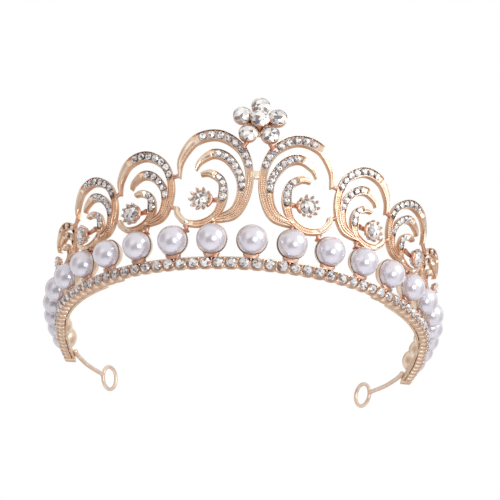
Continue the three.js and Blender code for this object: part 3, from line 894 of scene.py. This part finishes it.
def make_bridges():
    """Solder that joins each scroll's hoop tip and curl tip to its neighbour."""
    outward = SCROLL_FRONT + SCROLL_THICKNESS / 2 - 0.2
    joints = []
    for design, neighbour in zip(SCROLLS, SCROLLS[1:]):
        hoop, _, curl = strokes_of(design, 1)
        for tip in (hoop["samples"][3], curl["samples"][-4]):
            start = (tip["along"], tip["rise"])
            stop = nearest_edge(neighbour, *start)
            if math.dist(start, stop) > BRIDGE_LIMIT:
                continue
            middle = ((start[0] + stop[0]) / 2, (start[1] + stop[1]) / 2 - 0.15)
            for side in SIDES.values():
                path = [(side * along, outward, rise) for along, rise in (start, middle, stop)]
                joints.append(bent(tube(path, [0.85, 0.62, 0.85], 12)))
    return joints


# ---- claw settings ----

def claw_reach(design, along, rise):
    """Distance from a claw's middle to the metal beside it, towards the front."""
    edges = []
    for stroke in strokes_of(design, 1):
        for sample in stroke["samples"]:
            for across in (-sample["half"], sample["half"]):
                edge = beside(sample, across)
                if edge[0] < along and abs(edge[1] - rise) < 1.7:
                    edges.append(edge[0])
    return along - max(edges)


def claw_prong(turn, open_wide):
    tip = [(3.6, 0.45), (3.85, 0.95)] if open_wide else [(3.35, 0.35), (3.2, 0.75)]
    path = [(2.2, -2.0), (2.9, -1.2), (3.25, -0.3), *tip]
    radii = [0.6, 0.62, 0.6, 0.48, 0.22]
    line = [(r * math.sin(turn), -o, r * math.cos(turn)) for r, o in path]
    return tube(line, radii, 10)


def make_claws(name, side, number, design):
    claw = design["claw"]
    along = design["start"] + claw["place"][0] * design["width"] / DESIGN_WIDTH
    rise = SCROLL_BASE + design["lift"] + claw["place"][1] * design["height"] / DESIGN_HEIGHT
    size = claw["size"]
    stand = slope_frame(side * along, rise, claw["outward"]) @ Matrix.Scale(size, 4)
    seat = CLAW_STONE_RADIUS + 0.25
    collar = turned([(1, -2.3), (2.2, -2.3), (2.4, -2.1), (seat + 0.3, -0.1), (seat + 0.24, 0.1), (seat, 0.12),
                     (seat - 0.1, -0.3), (1, -1.7)], 28, closed=True)
    prongs = [claw_prong(2 * math.pi * (i + 0.5) / PRONGS, number == 1) for i in range(PRONGS)]
    shapes = [moved(shape, stand) for shape in (collar, *prongs)]
    # The prongs are painted grey as shade around the stone.
    shade_tints = {i: [GREY_SHADE] * len(shape[1]) for i, shape in enumerate(shapes) if i}
    piece(f"claws_{name}_{number}", shapes, GOLD, [f"claw_setting_{name}_{number}"], sharp=45,
          shade_tints=shade_tints)
    stones = StoneSet()
    stones.add(seat, stand @ Matrix.Translation((0, 0.05, 0)), 10, seed=3000 + 10 * number + (side > 0))
    stones.make(f"claw_brilliant_{name}_{number}", [f"claw_stone_{name}_{number}"])
    hug = []
    for step in range(9):
        turn = -side * math.radians(62 + 80 * step / 8)
        hug.append((3.55 * math.sin(turn), 0.1, 3.55 * math.cos(turn)))
    joints = [moved(tube(hug, [0.35, 0.55, 0.65, 0.75, 0.8, 0.75, 0.65, 0.55, 0.35], 10), stand)]
    reach = claw_reach(design, along, rise) / size + 0.5
    if reach > 2.8:
        path = [(-side * (2.2 + (reach - 2.2) * s), 1.75 - 0.35 * s, -0.25) for s in (0, 0.3, 0.7, 1.0)]
        joints.append(moved(tube(path, [0.6, 0.8, 0.85, 1.1], 12), stand))
    return joints


# ---- flower ----

def flower_places():
    petals = []
    for i, name in enumerate(("top", "upper_left", "lower_left", "lower_right", "upper_right")):
        angle = math.pi / 2 + 2 * math.pi * i / 5
        petals.append((name, PETAL_CIRCLE * math.cos(angle), PETAL_CIRCLE * math.sin(angle), 0.0))
    return [*petals, ("centre", 0.0, 0.0, FLOWER_CENTRE_RISE)]


def make_flower():
    spot = Vector((0, SHIFT_Y - FRONT_RADIUS - FLOWER_OUTWARD, FLOWER_HEIGHT)) * MM
    stand = Matrix.Translation(spot) @ Matrix.Scale(MM, 4)
    cup = turned([(0, -1.2), (2.7, -1.2), (3.05, -1.0), (3.28, 0.7), (3.24, 0.92), (3.15, 0.98), (3.08, 0.9),
                  (2.95, 0.5), (0.8, -0.7), (0, -0.7)], PETAL_SEGMENTS)
    shapes = []
    for _, x, z, outward in flower_places():
        shapes.append(moved(cup, stand @ Matrix.Translation((x, -outward, z))))
    angles = [2 * math.pi * i / 60 for i in range(60)]
    outline = [(angle, 5.4 + 1.9 * math.cos(5 * angle)) for angle in angles]
    rings = [[(size * r * math.sin(a), -o, size * r * math.cos(a)) for a, r in outline]
             for size, o in ((0.94, -1.9), (1.0, -1.7), (1.0, -1.25), (0.94, -1.1))]
    shapes.append(moved(loft(rings), stand))
    stem = turned([(0, -1.5), (2.4, -1.5), (2.1, -0.6), (2.2, 0.6), (0, 0.6)], 24)
    shapes.append(moved(stem, stand))
    low_bar = tube([(-3, 0.2, -5.6), (-1, 0.2, -5.5), (1, 0.2, -5.5), (3, 0.2, -5.6)], [0.6, 0.5, 0.5, 0.6], 10)
    shapes.append(moved(low_bar, stand))
    # The flower's metal is painted coppery as shade, and grey around the stones in the cups.
    shade_tints = {i: [COPPERY_SHADE] * len(shape[1]) for i, shape in enumerate(shapes)}
    for i in range(len(flower_places())):
        rows = [COPPERY_SHADE] * 3 + [GREY_SHADE] * 4 + [COPPERY_SHADE] * 2
        shade_tints[i] = [tint for tint in rows for _ in range(PETAL_SEGMENTS)]
    piece("flower_cups", shapes, GOLD, ["flower_setting"], sharp=45, shade_tints=shade_tints)
    for number, (name, x, z, outward) in enumerate(flower_places()):
        stones = StoneSet()
        seat = stand @ Matrix.Translation((x, -outward - 0.85, z))
        stones.add(PETAL_STONE_RADIUS + 0.22, seat, 9, seed=4000 + number, glint_gain=FLOWER_GLINT_GAIN)
        stones.make(f"flower_brilliant_{name}", [f"flower_stone_{name}"])
    joints = []
    for side in SIDES.values():
        path = [(side * 4.0, 1.3, -7.6), (side * 4.4, 1.5, -8.4), (side * 5.1, 1.9, -9.5)]
        joints.append(moved(tube(path, [0.9, 0.75, 1.0], 12), stand))
    return joints


# ---- hair loops ----

def make_hair_loop(name, side):
    heading = Vector((side * math.cos(LOOP_HEADING), math.sin(LOOP_HEADING), 0))
    centre = Vector((side * LOOP_CENTRE[0], LOOP_CENTRE[1] + SHIFT_Y, LOOP_CENTRE[2]))
    rings = []
    for i in range(48):
        angle = 2 * math.pi * i / 48
        away = heading * math.cos(angle) + Vector((0, 0, 1)) * math.sin(angle)
        across = heading.cross(Vector((0, 0, 1)))
        section = [2 * math.pi * k / 16 for k in range(16)]
        wire = RING_WIRE_RADIUS
        rings.append([centre + away * (LOOP_RADIUS + wire * math.cos(a)) + across * wire * math.sin(a)
                      for a in section])
    ring = loft(rings, closed=True)
    inward = STRIP_INNER + GAP + LOOP_WIRE_RADIUS
    laps = []
    for length in (BAND_HALF_LENGTH - WIRE_LAP, BAND_HALF_LENGTH):
        x, y, turn = plan_at(side * length)
        outward = lean(WIRE_HEIGHT) - inward
        laps.append(Vector((x + outward * math.sin(turn), y - outward * math.cos(turn), WIRE_HEIGHT)))
    end = centre - heading * LOOP_RADIUS
    middle = laps[1].lerp(end, 0.5) + Vector((side * 1.2, 0.6, 0))
    knots = [tuple(p) for p in (*laps, middle, end)]
    line = [spline(knots, i / 40) for i in range(41)]
    wire = round_ended(line, LOOP_WIRE_RADIUS, 16)
    collar = tube([end - heading * 1.6, end - heading * 0.8, end + heading * 0.2], [0.95, 1.2, 0.9], 16)
    shapes = [moved(shape, Matrix.Scale(MM, 4)) for shape in (ring, wire, collar)]
    piece(f"wire_loop_{name}", shapes, WIRE, [f"hair_loop_{name}"], sharp=60)


# ---- studio ----

def make_floor():
    """Pale floor that shows from above only, stays even by glowing a little, and doesn't light the tiara."""
    size = 3.0
    mesh = bpy.data.meshes.new("floor")
    corners = [(-size, -size, 0), (size, -size, 0), (size, size, 0), (-size, size, 0)]
    mesh.from_pydata(corners, [], [(0, 1, 2, 3)])
    floor = bpy.data.objects.new("floor", mesh)
    bpy.context.scene.collection.objects.link(floor)
    material, nodes, links, shader = new_material(
        "floor_paper", Roughness=0.9, Emission_Color=(1, 1, 1, 1), Emission_Strength=0.55,
    )
    paper = add_noise(nodes, links, 40.0)
    tint = add_ramp(nodes, links, paper.outputs["Fac"], [
        (0.3, (0.38, 0.38, 0.38, 1)), (0.7, (0.41, 0.41, 0.41, 1)),
    ])
    links.new(tint.outputs["Color"], shader.inputs["Base Color"])
    clear = nodes.new("ShaderNodeBsdfTransparent")
    side = nodes.new("ShaderNodeNewGeometry")
    mix = nodes.new("ShaderNodeMixShader")
    links.new(side.outputs["Backfacing"], mix.inputs["Fac"])
    links.new(shader.outputs["BSDF"], mix.inputs[1])
    links.new(clear.outputs["BSDF"], mix.inputs[2])
    links.new(mix.outputs["Shader"], nodes["Material Output"].inputs["Surface"])
    mesh.materials.append(material)
    floor.visible_diffuse = floor.visible_glossy = floor.visible_transmission = floor.visible_shadow = False


CAMERA_TARGET = Vector((1.08, SHIFT_Y, 44.4)) * MM
CAMERA_DISTANCE = 0.350
CAMERA_AZIMUTH = math.radians(-1.21)
CAMERA_ELEVATION = math.radians(-27.04)
CAMERA_ROLL = math.radians(3.46)
CAMERA_LENS = 58.66
CAMERA_BACK = Vector((
    math.sin(CAMERA_AZIMUTH) * math.cos(CAMERA_ELEVATION),
    -math.cos(CAMERA_AZIMUTH) * math.cos(CAMERA_ELEVATION),
    math.sin(CAMERA_ELEVATION),
))


def make_camera():
    data = bpy.data.cameras.new("camera")
    data.lens = CAMERA_LENS
    data.sensor_width = 36.0
    data.clip_start = 0.01
    camera = bpy.data.objects.new("camera", data)
    bpy.context.scene.collection.objects.link(camera)
    right = Vector((0, 0, 1)).cross(CAMERA_BACK).normalized()
    up = CAMERA_BACK.cross(right)
    turned_right = right * math.cos(CAMERA_ROLL) + up * math.sin(CAMERA_ROLL)
    turned_up = up * math.cos(CAMERA_ROLL) - right * math.sin(CAMERA_ROLL)
    axes = Matrix((turned_right, turned_up, CAMERA_BACK)).transposed().to_4x4()
    camera.matrix_world = Matrix.Translation(CAMERA_TARGET + CAMERA_BACK * CAMERA_DISTANCE) @ axes
    bpy.context.scene.camera = camera


def make_world():
    """White studio. What lights the tiara has soft dark and bright places, which give the metal its contrast."""
    world = bpy.data.worlds.new("studio")
    bpy.context.scene.world = world
    world.use_nodes = True
    nodes, links = world.node_tree.nodes, world.node_tree.links
    place = nodes.new("ShaderNodeTexCoord")
    colour = None
    places = [
        (Vector((-0.10, -0.74, -0.66)).normalized(), 0.68, 0.96, (0.16, 0.14, 0.16)),
        (Vector((-0.93, -0.30, 0.10)).normalized(), 0.80, 0.96, (0.55, 0.48, 0.46)),
        (Vector((0.90, 0.15, -0.10)).normalized(), 0.84, 0.97, (0.55, 0.48, 0.46)),
        (Vector((0.0, 0.05, -1.0)).normalized(), 0.70, 0.97, (1.25, 1.25, 1.32)),
        (Vector((0.0, 0.90, -0.42)).normalized(), 0.78, 0.97, (0.68, 0.57, 0.50)),
        (Vector((-0.30, 0.80, 0.50)).normalized(), 0.85, 0.98, (0.55, 0.50, 0.48)),
        (Vector((-0.52, -0.85, 0.02)).normalized(), 0.91, 0.985, (1.40, 1.34, 1.28)),
    ]
    for direction, outer, inner, shade in places:
        dot = nodes.new("ShaderNodeVectorMath")
        dot.operation = "DOT_PRODUCT"
        dot.inputs[1].default_value = direction
        links.new(place.outputs["Generated"], dot.inputs[0])
        spread = nodes.new("ShaderNodeMapRange")
        spread.interpolation_type = "SMOOTHSTEP"
        spread.inputs["From Min"].default_value = outer
        spread.inputs["From Max"].default_value = inner
        links.new(dot.outputs["Value"], spread.inputs["Value"])
        mix = nodes.new("ShaderNodeMix")
        mix.data_type = "RGBA"
        mix.inputs["A"].default_value = (1, 1, 1, 1)
        mix.inputs["B"].default_value = (*shade, 1)
        links.new(spread.outputs["Result"], mix.inputs["Factor"])
        if colour:
            links.new(colour, mix.inputs["A"])
        colour = mix.outputs["Result"]
    studio = nodes["Background"]
    studio.inputs["Strength"].default_value = 0.86
    links.new(colour, studio.inputs["Color"])
    backdrop = nodes.new("ShaderNodeBackground")
    backdrop.inputs["Color"].default_value = (1, 1, 1, 1)
    path = nodes.new("ShaderNodeLightPath")
    choose = nodes.new("ShaderNodeMixShader")
    links.new(path.outputs["Is Camera Ray"], choose.inputs["Fac"])
    links.new(studio.outputs["Background"], choose.inputs[1])
    links.new(backdrop.outputs["Background"], choose.inputs[2])
    links.new(choose.outputs["Shader"], nodes["World Output"].inputs["Surface"])


def make_light(name, position, size, energy):
    data = bpy.data.lights.new(name, "AREA")
    data.shape = "DISK"
    data.size = size
    data.energy = energy
    light = bpy.data.objects.new(name, data)
    light.location = position
    light.rotation_euler = (Vector((0, -0.03, 0.02)) - Vector(position)).to_track_quat("-Z", "Y").to_euler()
    light.visible_camera = False
    bpy.context.scene.collection.objects.link(light)


# ---- assembly ----

make_camera()
make_pearls()
make_gallery()
make_band()
solder = []
for side_name, side in SIDES.items():
    make_inner_strip(side_name, side)
    make_hair_loop(side_name, side)
    for number, design in enumerate(SCROLLS, start=1):
        make_scroll(side_name, side, number, design)
        solder += make_claws(side_name, side, number, design)
solder += make_flower() + make_bridges()
piece("solder_joints", solder, SOLDER, sharp=50)

make_floor()
make_world()
make_light("key", (0.135, -0.41, -0.16), 0.17, 0.5)
make_light("window", (0.36, -0.30, 0.16), 0.34, 0.8)
bpy.context.scene.view_settings.view_transform = "Standard"
